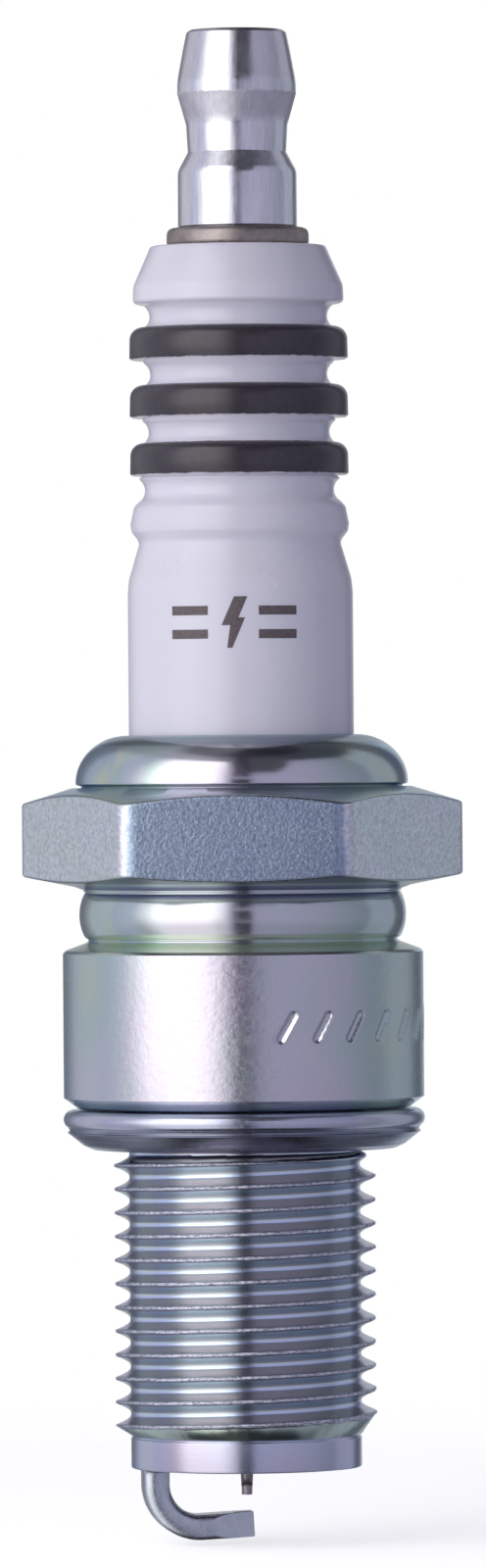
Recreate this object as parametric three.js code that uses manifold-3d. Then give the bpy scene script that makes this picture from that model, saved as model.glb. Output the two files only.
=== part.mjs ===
// Motorcycle spark plug: 14 mm thread, gasket seated, fine-wire centre electrode, resistor type.
// Millimetres, +Z along the plug's axis towards the terminal. The origin is on the axis, in the
// plane of the flange that the crush gasket seats under, which is where reach is measured from.

import * as THREE from "three";
import { mergeVertices } from "three/addons/utils/BufferGeometryUtils.js";
import Module from "manifold-3d";

const wasm = await Module();
wasm.setup();

// ---- Driving dimensions ----------------------------------------------------------------------

const REACH = 19; // flange to the firing end of the shell
const THREAD = { major: 6.92, minor: 6.08, pitch: 1.25 }; // M14 x 1.25, radii
const STUD_THREAD = { major: 1.97, minor: 1.56, pitch: 0.7 }; // M4 x 0.7, radii
const HEX = { acrossFlats: 20.5, cornerRadius: 1.2, top: 16.55, bottom: 12 }; // heights at mid-flat
const TERMINAL_TOP = 57; // flange to the top of the terminal nut
const INSULATOR_TOP = 45.6;
const BARREL = { radius: 9.53, top: 8.3 };
const SPARK_GAP = 0.85;
const ELECTRODE_DIRECTION = 189; // degrees about +Z from +X, the side that the ground electrode is on

const CONTACT = 0.05; // left between pieces that touch end to end
const FIT = 0.1; // left round a piece that is fitted inside another

const SEGMENTS = 30; // facets round the outside, the thread included
const CORE_SEGMENTS = 20; // facets round the pieces inside
const STUD_SEGMENTS = 12; // facets round the stud's thread

const COLOURS = {
  nickelPlate: { color: 0x6f6763, roughness: 0.4, metalness: 1 },
  turnedAluminium: { color: 0xc9cad2, roughness: 0.28, metalness: 1 },
  ceramic: { color: 0xe6e4ee, roughness: 0.15, metalness: 0 },
  zincPlate: { color: 0xaeb0b8, roughness: 0.3, metalness: 1 },
  nickelAlloy: { color: 0x8f979f, roughness: 0.4, metalness: 1 },
  copper: { color: 0xb87352, roughness: 0.35, metalness: 1 },
  iridium: { color: 0x7d7a80, roughness: 0.35, metalness: 1 },
  sealGlass: { color: 0x5b4238, roughness: 0.5, metalness: 0 },
  carbonCeramic: { color: 0x34343a, roughness: 0.8, metalness: 0 },
  talc: { color: 0xd8d4c8, roughness: 0.9, metalness: 0 },
  springSteel: { color: 0x8b8d92, roughness: 0.45, metalness: 1 },
};

// ---- Helpers ---------------------------------------------------------------------------------

// Points of an elliptical arc in the (radius, height) plane, ends included.
function arc(centre, radii, fromDegrees, toDegrees, steps) {
  return Array.from({ length: steps + 1 }, (_, i) => {
    const angle = THREE.MathUtils.degToRad(fromDegrees + ((toDegrees - fromDegrees) * i) / steps);
    return [centre[0] + radii[0] * Math.cos(angle), centre[1] + radii[1] * Math.sin(angle)];
  });
}

// A turned solid from an outline of [radius, height] points, listed from the top down the outside.
function turned(outline, segments = CORE_SEGMENTS) {
  const onAxis = outline[0][0] === 0 && outline.at(-1)[0] === 0;
  const closed = onAxis ? outline : [...outline, outline[0]];
  const points = closed.map(([radius, height]) => new THREE.Vector2(radius, height)).reverse();
  return new THREE.LatheGeometry(points, segments).rotateX(Math.PI / 2);
}

function toManifold(geometry) {
  const bare = geometry.index ? geometry.toNonIndexed() : geometry.clone();
  bare.deleteAttribute("normal");
  bare.deleteAttribute("uv");
  const merged = mergeVertices(bare, 1e-4);
  return new wasm.Manifold(
    new wasm.Mesh({
      numProp: 3,
      vertProperties: new Float32Array(merged.attributes.position.array),
      triVerts: new Uint32Array(merged.index.array),
    }),
  );
}

function fromManifold(solid) {
  const mesh = solid.getMesh();
  const geometry = new THREE.BufferGeometry();
  geometry.setAttribute("position", new THREE.BufferAttribute(mesh.vertProperties, 3));
  geometry.setIndex(new THREE.BufferAttribute(mesh.triVerts, 1));
  return geometry;
}

// A sleeve with a right-hand external thread that fades to the root radius over a pitch at each end.
function threadedSleeve({ major, minor, pitch }, top, bottom, boreRadius, segments) {
  // Where the crest and the root begin and end, as fractions of the pitch.
  const profile = [
    { at: 0, height: 1 },
    { at: 0.16, height: 1 },
    { at: 0.46, height: 0 },
    { at: 0.7, height: 0 },
  ];
  const snap = pitch / segments / 4; // closer rows than this are merged
  const rows = [];
  for (let turn = Math.floor(bottom / pitch) - 2; turn * pitch < top + pitch; turn++) {
    for (const { at, height } of profile) rows.push({ z: (turn + at) * pitch, height });
  }
  const ring = (radius, z, column) => {
    const angle = (2 * Math.PI * (column % segments)) / segments;
    return [radius * Math.cos(angle), radius * Math.sin(angle), z];
  };
  const vertex = (row, column) => {
    let z = row.z + (pitch * column) / segments;
    if (z > top - snap) z = top;
    if (z < bottom + snap) z = bottom;
    const fade = Math.min(1, (top - z) / pitch, (z - bottom) / pitch);
    return ring(minor + (major - minor) * row.height * Math.max(0, fade), z, column);
  };
  const positions = [];
  const quad = (a, b, c, d) => {
    for (const triangle of [[a, b, c], [a, c, d]]) {
      const keys = new Set(triangle.map((p) => p.map((x) => x.toFixed(5)).join()));
      if (keys.size === 3) positions.push(...triangle.flat());
    }
  };
  for (let i = 0; i < segments; i++) {
    for (let k = 0; k + 1 < rows.length; k++) {
      const [upper, lower] = [rows[k + 1], rows[k]];
      quad(vertex(lower, i), vertex(lower, i + 1), vertex(upper, i + 1), vertex(upper, i));
    }
    const [outer, inner] = [minor, boreRadius].map((radius) => (z, column) => ring(radius, z, column));
    quad(outer(top, i), outer(top, i + 1), inner(top, i + 1), inner(top, i));
    quad(inner(top, i), inner(top, i + 1), inner(bottom, i + 1), inner(bottom, i));
    quad(inner(bottom, i), inner(bottom, i + 1), outer(bottom, i + 1), outer(bottom, i));
  }
  const geometry = new THREE.BufferGeometry();
  geometry.setAttribute("position", new THREE.Float32BufferAttribute(positions, 3));
  return geometry;
}

const plug = new THREE.Group();

function add(name, geometry, colour, parent = plug) {
  const mesh = new THREE.Mesh(geometry, new THREE.MeshStandardMaterial(COLOURS[colour]));
  mesh.name = name;
  parent.add(mesh);
  return mesh;
}

// ---- Terminal: a blind nut screwed on the stud that carries the current in ---------------------

const FLANGE = { radius: 3.76, thickness: 0.9 }; // of the stud, on the insulator's top face
const NUT_SEAT = INSULATOR_TOP + FLANGE.thickness;
const NUT = { radius: 3.15, neck: 2.62, bore: 2.12, boreTop: 55 };

function terminalNut() {
  return turned(
    [
      [0, TERMINAL_TOP],
      [NUT.radius - 0.85, TERMINAL_TOP],
      [NUT.radius - 0.53, TERMINAL_TOP - 0.25],
      [NUT.radius, TERMINAL_TOP - 2.75],
      [NUT.radius, TERMINAL_TOP - 3.4],
      [NUT.neck + 0.05, TERMINAL_TOP - 5.1],
      [NUT.neck, TERMINAL_TOP - 6.5],
      [NUT.radius, TERMINAL_TOP - 7.6],
      [NUT.radius, NUT_SEAT + CONTACT],
      [NUT.bore, NUT_SEAT + CONTACT],
      [NUT.bore, NUT.boreTop],
      [0, NUT.boreTop + 0.6],
    ],
    SEGMENTS,
  );
}

const STUD = { top: 54.5, shank: 1.95, gripTop: 15.6, gripBottom: 11.1, gripRadius: 1.5 };
const GRIP_GROOVES = { count: 4, depth: 0.25 }; // they key the stud's end into the glass

function terminalStud() {
  const { radius, thickness } = FLANGE;
  const edge = thickness / 2;
  const core = STUD_THREAD.minor - 0.16;
  const spacing = (STUD.gripTop - STUD.gripBottom) / (GRIP_GROOVES.count + 1);
  const grooves = [];
  for (let i = 1; i <= GRIP_GROOVES.count; i++) {
    const z = STUD.gripTop - i * spacing;
    grooves.push([STUD.gripRadius, z + spacing / 4]);
    grooves.push([STUD.gripRadius - GRIP_GROOVES.depth, z]);
    grooves.push([STUD.gripRadius, z - spacing / 4]);
  }
  const body = turned([
    [0, STUD.top],
    [core - 0.3, STUD.top],
    [core, STUD.top - 0.3],
    [core, NUT_SEAT],
    ...arc([radius - edge, NUT_SEAT - edge], [edge, edge], 90, -90, 6),
    [STUD.shank, INSULATOR_TOP],
    [STUD.shank, STUD.gripTop + 0.4],
    [STUD.gripRadius, STUD.gripTop],
    ...grooves,
    [STUD.gripRadius, STUD.gripBottom + 0.3],
    [STUD.gripRadius - 0.3, STUD.gripBottom],
    [0, STUD.gripBottom],
  ]);
  const thread = threadedSleeve(STUD_THREAD, STUD.top - 0.4, NUT_SEAT - 0.2, 1, STUD_SEGMENTS);
  return fromManifold(toManifold(body).add(toManifold(thread)));
}

// ---- Insulator: ribbed ceramic with a stepped bore ---------------------------------------------

const NECK_RADIUS = 5.95; // of the plain part below the ribs, down to the packing
const RIB = { radius: 5.79, height: 1.75, pitch: 3.06, firstTop: 41.3 };
const GROOVES = [4.7, 4.72, 4.81, 5.04]; // radius of the groove above each rib
const SHOULDER = { radius: 7.4, top: 12.5, bottom: 4.9 }; // the large diameter held in the shell
const STEM = { radius: 4.85, top: 3.2, bottom: -6.2 };
const NOSE = { radius: 3.7, top: -7, tipRadius: 2.45, tip: -(REACH - 0.55) };
const BORE = { radius: 2.1, bottom: -4.4, stepBottom: -5.2, stepRadius: 1.32 };

function insulator() {
  const cap = RIB.radius - 0.22;
  const ribs = GROOVES.flatMap((groove, i) => {
    const top = RIB.firstTop - i * RIB.pitch;
    const bottom = top - RIB.height;
    return [
      [groove, top + 0.6],
      [groove + 0.25, top],
      [RIB.radius - 0.3, top - 0.3],
      [RIB.radius - 0.05, top - 0.85],
      [RIB.radius, bottom + 0.12],
      [RIB.radius - 0.1, bottom],
      [(GROOVES[i + 1] ?? 5.3) + 0.3, bottom],
    ];
  });
  return turned(
    [
      [BORE.radius, INSULATOR_TOP - CONTACT],
      [cap - 1.05, INSULATOR_TOP - CONTACT],
      [cap - 0.85, INSULATOR_TOP - 0.3],
      [cap, INSULATOR_TOP - 2.05],
      [cap, INSULATOR_TOP - 2.9],
      [cap - 0.12, INSULATOR_TOP - 3],
      [GROOVES[0] + 0.15, INSULATOR_TOP - 3],
      ...ribs,
      [5.37, 29.9],
      [5.45, 29.3],
      [5.87, 27.95],
      [NECK_RADIUS, 27.6],
      [NECK_RADIUS, SHOULDER.top + 0.8],
      [SHOULDER.radius, SHOULDER.top],
      [SHOULDER.radius, SHOULDER.bottom],
      [STEM.radius, STEM.top],
      [STEM.radius, STEM.bottom],
      [NOSE.radius, NOSE.top],
      [NOSE.tipRadius, NOSE.tip + 0.25],
      [NOSE.tipRadius - 0.25, NOSE.tip],
      [BORE.stepRadius, NOSE.tip],
      [BORE.stepRadius, BORE.stepBottom],
      [BORE.radius, BORE.bottom],
    ],
    SEGMENTS,
  );
}

// ---- Metal shell: crimp, hexagon, shrink groove, barrel and thread ------------------------------

const CRIMP = { centreRadius: 6.05, centreHeight: 17.2, outer: [2.74, 2.55], inner: [1.4, 1.3] };
const GROOVE = { waist: 8.38, bulge: 8.64 }; // the thin ring that shrinks to clamp the insulator
const SHELL_BORE = { upper: SHOULDER.radius + FIT, lower: STEM.radius + 0.12, end: 4.2 };
const LEDGE = { radius: 3.85, top: -7.55, bottom: -9 }; // inner shoulder that the insulator rests on
const UNDERCUT = { radius: 6.15, bottom: -2.3 };
const THREAD_END = -(REACH - 1.7);

const CHAMFER = { inner: 8.6, outer: 12.3, topSlope: 0.31, bottomSlope: 0.2 }; // shallow cones

function hexagon() {
  const flat = HEX.acrossFlats / 2;
  const corner = (flat - HEX.cornerRadius) / Math.cos(Math.PI / 6);
  const shape = new THREE.Shape();
  for (let i = 0; i < 6; i++) {
    const angle = (i * Math.PI) / 3;
    const [x, y] = [corner * Math.cos(angle), corner * Math.sin(angle)];
    shape.absarc(x, y, HEX.cornerRadius, angle - Math.PI / 6, angle + Math.PI / 6, false);
  }
  const upper = (radius) => HEX.top - CHAMFER.topSlope * (radius - flat);
  const lower = (radius) => HEX.bottom + CHAMFER.bottomSlope * (radius - flat);
  const prism = new THREE.ExtrudeGeometry(shape, {
    depth: upper(0) - lower(0),
    bevelEnabled: false,
    curveSegments: 3,
  }).translate(0, 0, lower(0));
  const chamfered = turned(
    [
      [0, upper(CHAMFER.inner)],
      [CHAMFER.inner, upper(CHAMFER.inner)],
      [CHAMFER.outer, upper(CHAMFER.outer)],
      [CHAMFER.outer, lower(CHAMFER.outer)],
      [CHAMFER.inner, lower(CHAMFER.inner)],
      [0, lower(CHAMFER.inner)],
    ],
    SEGMENTS,
  );
  return toManifold(prism).intersect(toManifold(chamfered));
}

function metalShell() {
  const { centreRadius, centreHeight, outer, inner } = CRIMP;
  const centre = [centreRadius, centreHeight];
  const solid = turned(
    [
      [0, centreHeight + outer[1]],
      ...arc(centre, outer, 88, 0, 8),
      [8.55, HEX.top],
      [8.55, HEX.bottom],
      [GROOVE.waist, HEX.bottom - 0.3],
      [GROOVE.bulge - 0.06, 11.1],
      [GROOVE.bulge, 10.26],
      [GROOVE.bulge - 0.06, 9.4],
      [GROOVE.waist, 8.75],
      [GROOVE.waist + 0.3, BARREL.top],
      [BARREL.radius - 0.08, BARREL.top],
      [BARREL.radius, BARREL.top - 0.08],
      [BARREL.radius, 0.6],
      [BARREL.radius - 0.8, 0],
      [UNDERCUT.radius, 0],
      [UNDERCUT.radius, UNDERCUT.bottom - 0.1],
      [THREAD.minor - 0.1, UNDERCUT.bottom - 0.2],
      [THREAD.minor - 0.1, THREAD_END + 0.1],
      [THREAD.minor + 0.02, THREAD_END],
      [THREAD.minor + 0.02, -REACH + 0.15],
      [THREAD.minor - 0.13, -REACH],
      [0, -REACH],
    ],
    SEGMENTS,
  );
  const hollow = turned(
    [
      [0, 20],
      [NECK_RADIUS + FIT, 20],
      [NECK_RADIUS + FIT, centreHeight + inner[1]],
      ...arc(centre, inner, 80, 0, 4),
      [SHELL_BORE.upper, centreHeight],
      [SHELL_BORE.upper, SHOULDER.bottom - FIT],
      [SHELL_BORE.lower, STEM.top - 0.2],
      [SHELL_BORE.lower, LEDGE.top + 0.8],
      [LEDGE.radius, LEDGE.top],
      [LEDGE.radius, LEDGE.bottom],
      [SHELL_BORE.end, LEDGE.bottom - 0.6],
      [SHELL_BORE.end, -REACH - 1],
      [0, -REACH - 1],
    ],
    SEGMENTS,
  );
  const thread = threadedSleeve(THREAD, UNDERCUT.bottom, THREAD_END, 5.6, SEGMENTS);
  return fromManifold(
    toManifold(solid).add(hexagon()).add(toManifold(thread)).subtract(toManifold(hollow)),
  );
}

// ---- Crush gasket: a folded steel ring, captive between the flange and the thread ---------------

const GASKET = { bore: 6.5, top: -0.2, bottom: -2.15, rim: 9.55, lip: 9.3, foot: 8.1 };
const GASKET_MOUTH = THREAD.major + 0.2; // the lower edge clears a tapped hole's own thread

function seatGasket() {
  const beadRadius = 0.47;
  const beadCentre = [GASKET.rim - beadRadius, GASKET.top - beadRadius];
  return turned(
    [
      [GASKET.bore, GASKET.top - 0.1],
      [GASKET.bore + 0.15, GASKET.top],
      ...arc(beadCentre, [beadRadius, beadRadius], 90, -80, 6),
      [GASKET.lip, GASKET.bottom + 0.85],
      [GASKET.foot + 0.45, GASKET.bottom + 0.1],
      [GASKET.foot, GASKET.bottom],
      [GASKET_MOUTH, GASKET.bottom],
      [GASKET.bore, GASKET.bottom + 0.4],
    ],
    SEGMENTS,
  );
}

// ---- Ground electrode: a bar welded to the shell's end face and bent under the centre -----------

const BAR = { width: 2.3, thickness: 1.33, corner: 0.42, legRadius: 4.87 };
const BEND = { radius: 2.3, degrees: 93 }; // past square, so the free end rises towards its tip
const TIP = { overhang: 0.3, taperLength: 2.1, width: 1.25 }; // past the axis, and the trapezoid cut
const FIRING_POINT = -20.46; // the end of the centre electrode's wire
const BAR_TIP_CENTRE = FIRING_POINT - SPARK_GAP - BAR.thickness / 2;

// The bar's centre line: down from the shell, round the bend and along to the tip.
class BarPath extends THREE.Curve {
  constructor() {
    super();
    const turn = THREE.MathUtils.degToRad(BEND.degrees);
    this.turn = turn;
    const bendX = BAR.legRadius - BEND.radius * (1 - Math.cos(turn));
    this.flat = (bendX + TIP.overhang) / Math.sin(turn);
    const bendBottom = BAR_TIP_CENTRE + this.flat * Math.cos(turn);
    this.bendTop = bendBottom + BEND.radius * Math.sin(turn);
    this.leg = -REACH - this.bendTop;
    this.length = this.leg + BEND.radius * turn + this.flat;
  }

  getPoint(t) {
    let s = t * this.length;
    if (s < this.leg) return new THREE.Vector3(BAR.legRadius, 0, -REACH - s);
    const angle = Math.min((s - this.leg) / BEND.radius, this.turn);
    s -= this.leg + BEND.radius * angle;
    return new THREE.Vector3(
      BAR.legRadius - BEND.radius * (1 - Math.cos(angle)) - s * Math.sin(angle),
      0,
      this.bendTop - BEND.radius * Math.sin(angle) - s * Math.cos(angle),
    );
  }
}

function barSection() {
  const [x, y] = [BAR.width / 2 - BAR.corner, BAR.thickness / 2 - BAR.corner];
  const shape = new THREE.Shape();
  const corners = [[x, -y], [x, y], [-x, y], [-x, -y]];
  corners.forEach(([cx, cy], i) => {
    const start = ((i - 1) * Math.PI) / 2;
    shape.absarc(cx, cy, BAR.corner, start, start + Math.PI / 2, false);
  });
  return shape;
}

function groundElectrode() {
  const bar = new THREE.ExtrudeGeometry(barSection(), {
    steps: 18,
    curveSegments: 2,
    bevelEnabled: false,
    extrudePath: new BarPath(),
  });
  let solid = toManifold(bar);
  const taperStart = -TIP.overhang + TIP.taperLength;
  for (const side of [-1, 1]) {
    const wedge = new THREE.Shape([
      new THREE.Vector2(taperStart, (side * BAR.width) / 2),
      new THREE.Vector2(-TIP.overhang, (side * TIP.width) / 2),
      new THREE.Vector2(-TIP.overhang - 1, (side * TIP.width) / 2),
      new THREE.Vector2(-TIP.overhang - 1, side * BAR.width),
      new THREE.Vector2(taperStart, side * BAR.width),
    ]);
    const cutter = new THREE.ExtrudeGeometry(wedge, { depth: 6, bevelEnabled: false });
    solid = solid.subtract(toManifold(cutter.translate(0, 0, BAR_TIP_CENTRE - 3)));
  }
  return fromManifold(solid);
}

// ---- Centre electrode, its core and its wire tip -------------------------------------------------

const CENTRE = { stem: 1.22, head: 1.95, headTop: -2.6, core: 0.8, coreBottom: -16.8 };
const WIRE = { radius: 0.275, top: -19.9 };

function centreElectrode() {
  const { stem, head, headTop, core, coreBottom } = CENTRE;
  return turned([
    [0, coreBottom - 0.4],
    [core, coreBottom],
    [core, headTop],
    [head, headTop],
    [head, BORE.bottom + 0.1],
    [stem, BORE.stepBottom + 0.2],
    [stem, NOSE.tip + 0.2],
    [WIRE.radius + 0.12, WIRE.top + 0.35],
    [WIRE.radius + 0.02, WIRE.top],
    [0, WIRE.top],
  ]);
}

function centreCore() {
  const radius = CENTRE.core - 0.08;
  return turned([
    [0, CENTRE.headTop - CONTACT],
    [radius, CENTRE.headTop - CONTACT],
    [radius, CENTRE.coreBottom + 0.1],
    [0, CENTRE.coreBottom - 0.2],
  ]);
}

function wireTip() {
  return turned([
    [0, WIRE.top - 0.01],
    [WIRE.radius, WIRE.top - 0.01],
    [WIRE.radius, FIRING_POINT],
    [0, FIRING_POINT],
  ]);
}

// ---- What fills the insulator's bore: two glass seals with the resistor between them -------------

const SEAL_RADIUS = BORE.radius - 0.08;
const RESISTOR = { top: 8.6, bottom: 1.6 };

function lowerGlassSeal() {
  return turned([
    [0, RESISTOR.bottom - CONTACT],
    [SEAL_RADIUS, RESISTOR.bottom - CONTACT],
    [SEAL_RADIUS, CENTRE.headTop + CONTACT],
    [0, CENTRE.headTop + CONTACT],
  ]);
}

function resistor() {
  return turned([
    [0, RESISTOR.top],
    [SEAL_RADIUS, RESISTOR.top],
    [SEAL_RADIUS, RESISTOR.bottom],
    [0, RESISTOR.bottom],
  ]);
}

// The stud's grooved end sits in this one.
function upperGlassSeal() {
  const pocket = STUD.gripRadius + FIT;
  return turned([
    [0, STUD.gripBottom - CONTACT],
    [pocket, STUD.gripBottom - CONTACT],
    [pocket, STUD.gripTop - FIT],
    [SEAL_RADIUS, STUD.gripTop - FIT],
    [SEAL_RADIUS, RESISTOR.top + CONTACT],
    [0, RESISTOR.top + CONTACT],
  ]);
}

// ---- What holds the insulator in the shell: talc between two wire rings, and a washer ------------

const PACKING = { inner: NECK_RADIUS + FIT, outer: SHELL_BORE.upper - FIT, wire: 0.58 };
const RING_HEIGHT = { upper: 17, lower: 13.62 };
const WIRE_SIDES = 9;

function packingRing(height) {
  const middle = (NECK_RADIUS + SHELL_BORE.upper) / 2;
  const lastAngle = 90 - (360 * (WIRE_SIDES - 1)) / WIRE_SIDES;
  return turned(arc([middle, height], [PACKING.wire, PACKING.wire], 90, lastAngle, WIRE_SIDES - 1));
}

function talcPacking() {
  const top = RING_HEIGHT.upper - PACKING.wire - FIT;
  const bottom = RING_HEIGHT.lower + PACKING.wire + FIT;
  return turned([
    [PACKING.inner, top],
    [PACKING.outer, top],
    [PACKING.outer, bottom],
    [PACKING.inner, bottom],
  ]);
}

// A thin cone that lies between the insulator's seat and the shell's ledge.
function ledgeWasher() {
  const [inner, outer] = [4, 4.7];
  const slope = (NOSE.top - STEM.bottom) / (STEM.radius - NOSE.radius);
  const underside = (radius) => LEDGE.top + 0.16 - slope * (radius - LEDGE.radius);
  const thickness = 0.36;
  return turned([
    [inner, underside(inner) + thickness],
    [outer, underside(outer) + thickness],
    [outer, underside(outer)],
    [inner, underside(inner)],
  ]);
}

// ---- Assembly ------------------------------------------------------------------------------------

add("terminal_nut", terminalNut(), "turnedAluminium");
add("terminal_stud", terminalStud(), "nickelPlate");
add("insulator", insulator(), "ceramic");
add("metal_shell", metalShell(), "zincPlate");
add("seat_gasket", seatGasket(), "zincPlate");
add("center_electrode", centreElectrode(), "nickelAlloy");
add("center_electrode_core", centreCore(), "copper");
add("iridium_wire_tip", wireTip(), "iridium");
add("lower_glass_seal", lowerGlassSeal(), "sealGlass");
add("resistor", resistor(), "carbonCeramic");
add("upper_glass_seal", upperGlassSeal(), "sealGlass");
add("talc_packing", talcPacking(), "talc");
add("upper_packing_ring", packingRing(RING_HEIGHT.upper), "springSteel");
add("lower_packing_ring", packingRing(RING_HEIGHT.lower), "springSteel");
add("ledge_washer", ledgeWasher(), "springSteel");

const firingSide = new THREE.Group();
firingSide.rotation.z = THREE.MathUtils.degToRad(ELECTRODE_DIRECTION);
add("ground_electrode", groundElectrode(), "nickelAlloy", firingSide);
plug.add(firingSide);

export default plug;
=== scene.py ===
"""A motorcycle spark plug: fine meshes, procedural materials, light and a camera round the CAD frame.

Shapes are worked out in millimetres in the frame of the CAD model, whose origin is on the plug's axis
in the plane that the crush gasket bears on. +Z runs towards the terminal, and -Y towards the camera.
"""

import math

import bmesh
import bpy
import numpy as np
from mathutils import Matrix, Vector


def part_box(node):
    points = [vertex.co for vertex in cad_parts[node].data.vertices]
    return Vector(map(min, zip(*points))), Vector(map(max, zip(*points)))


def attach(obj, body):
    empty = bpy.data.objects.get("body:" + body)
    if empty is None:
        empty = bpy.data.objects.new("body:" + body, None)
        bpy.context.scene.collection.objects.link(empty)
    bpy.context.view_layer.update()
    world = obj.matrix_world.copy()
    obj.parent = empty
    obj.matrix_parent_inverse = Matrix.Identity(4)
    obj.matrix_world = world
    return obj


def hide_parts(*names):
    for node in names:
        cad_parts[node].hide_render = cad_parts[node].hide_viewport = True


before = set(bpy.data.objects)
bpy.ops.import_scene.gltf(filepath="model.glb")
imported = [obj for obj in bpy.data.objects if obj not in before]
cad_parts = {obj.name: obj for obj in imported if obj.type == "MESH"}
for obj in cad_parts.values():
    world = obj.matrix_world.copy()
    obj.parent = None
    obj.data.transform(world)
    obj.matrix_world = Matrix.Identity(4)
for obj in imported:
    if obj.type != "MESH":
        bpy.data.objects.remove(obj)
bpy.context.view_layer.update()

MM = 0.001


# -- Sizes read from the frame, in millimetres --


def top(node):
    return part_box(node)[1].z / MM


def bottom(node):
    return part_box(node)[0].z / MM


NUT_TOP = top("terminal_nut")
NUT_FOOT = bottom("terminal_nut")
STUD_TOP = top("terminal_stud")
STUD_END = bottom("terminal_stud")
INSULATOR_TOP = top("insulator")
NOSE_TIP = bottom("insulator")
CRIMP_TOP = top("metal_shell") - 0.05
SHELL_END = bottom("metal_shell")
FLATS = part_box("metal_shell")[1].y / MM  # half the hexagon's width across its flats
GASKET_TOP = top("seat_gasket")
GASKET_FOOT = bottom("seat_gasket")
WIRE_END = bottom("iridium_wire_tip")

# -- Sizes of what only the fine meshes show --

# Radii of a thread's crest and root, and its pitch. A crest is flat for the share "land" of the pitch on
# either side of its middle, and the flanks are the more hollow the higher that power is.
THREAD = {"crest": 6.87, "root": 6.1, "pitch": 1.25, "first_crest": -2.4, "land": 0.06, "hollow": 1.65}
STUD_THREAD = {"crest": 1.97, "root": 1.56, "pitch": 0.7, "first_crest": 54.0, "land": 0.07, "hollow": 1.3}
CORNER_ROUNDING = 1.2  # of the hexagon's corners
BLACK_RIBS = {"count": 3, "top": 41.3, "pitch": 3.06, "height": 1.76, "radius": 5.79}
NECK_RADIUS = 5.95
NUT = {"radius": 3.14, "neck": 2.6, "bore": 2.1}
BARREL = {"radius": 9.53, "top": 8.2, "chamfer": 0.57}
# The shell is hollow: wide round the insulator's shoulder, narrow round its stem, with a step between.
HOLLOW = {"wide": 7.6, "narrow": 5.1, "step_top": 4.2, "step_foot": 2.7}
PILOT_RADIUS = 6.1  # of the plain end below the thread
THREAD_SLEEVE = {"radius": 6.2, "top": -0.9}  # where the thread's mesh is let into the barrel's
# Stamped in the barrel: degrees round to the first and between two, and the shape of each.
DASHES = {"first": -74, "step": 12, "count": 9, "height": 4.42, "length": 1.2, "lean": 0.7}
STAMPED = {"top": 5.6, "foot": 3.2, "step": 0.055}  # the rows of points that take in the dashes
DASH_GROOVE = {"half_width": 0.26, "depth": 0.18, "lip": 0.014, "lip_width": 0.07}
CAMERA_AZIMUTH = 2.2  # degrees round from -Y towards +X

# -- Building meshes --

FILLET_STEPS = 5
ROUND = np.radians(np.linspace(0, 360, 241))  # columns of a wide turned piece, the last on the first
SLIM_ROUND = np.radians(np.linspace(0, 360, 193))


def rounded(corners, fillets):
    """Rows of outlines [corner, column, (radius, height)] with each corner rounded by its fillet."""
    rows = []
    for i, fillet in enumerate(fillets):
        here = corners[i]
        if fillet == 0:
            rows.append(here)
            continue
        before = corners[i - 1] - here
        after = corners[(i + 1) % len(corners)] - here
        before_length = np.linalg.norm(before, axis=-1, keepdims=True)
        after_length = np.linalg.norm(after, axis=-1, keepdims=True)
        before = before / np.maximum(before_length, 1e-9)
        after = after / np.maximum(after_length, 1e-9)
        turn = np.arccos(np.clip(-(before * after).sum(-1, keepdims=True), -1, 1))
        limit = 0.48 * np.minimum(before_length, after_length)  # so that two fillets never meet
        reach = np.minimum(fillet * np.tan(turn / 2), limit)
        for t in np.linspace(0, 1, FILLET_STEPS + 1):
            rows.append(here + before * reach * (1 - t) ** 2 + after * reach * t**2)
    return np.array(rows)


def outline(*corners):
    """Rows of one outline from its corners (radius, height) or (radius, height, fillet), top first."""
    points = np.array([[corner[:2]] for corner in corners], float)
    return rounded(points, [corner[2] if len(corner) > 2 else 0 for corner in corners])


def arc(centre, radii, start, end, steps):
    """Corners along an elliptical arc in the (radius, height) plane, angles in degrees."""
    angles = np.radians(np.linspace(start, end, steps + 1))
    return [(centre[0] + radii[0] * math.cos(a), centre[1] + radii[1] * math.sin(a)) for a in angles]


def turned(rows, angles):
    """Points [row, column, xyz] of outlines turned round the Z axis."""
    radius, height = rows[..., 0], rows[..., 1]
    height = np.broadcast_to(height, (len(rows), len(angles)))
    return np.stack([radius * np.cos(angles), radius * np.sin(angles), height], axis=-1)


def ripple(points, size, seed):
    """A smooth irregular wave from -1 to 1 through space, with bumps about size millimetres apart."""
    random = np.random.default_rng(seed)
    waves = 6
    total = 0
    for _ in range(waves):
        direction = random.normal(size=3)
        total = total + np.sin(points @ (direction * 2 / size) + random.uniform(0, 2 * math.pi))
    return total / waves


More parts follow.
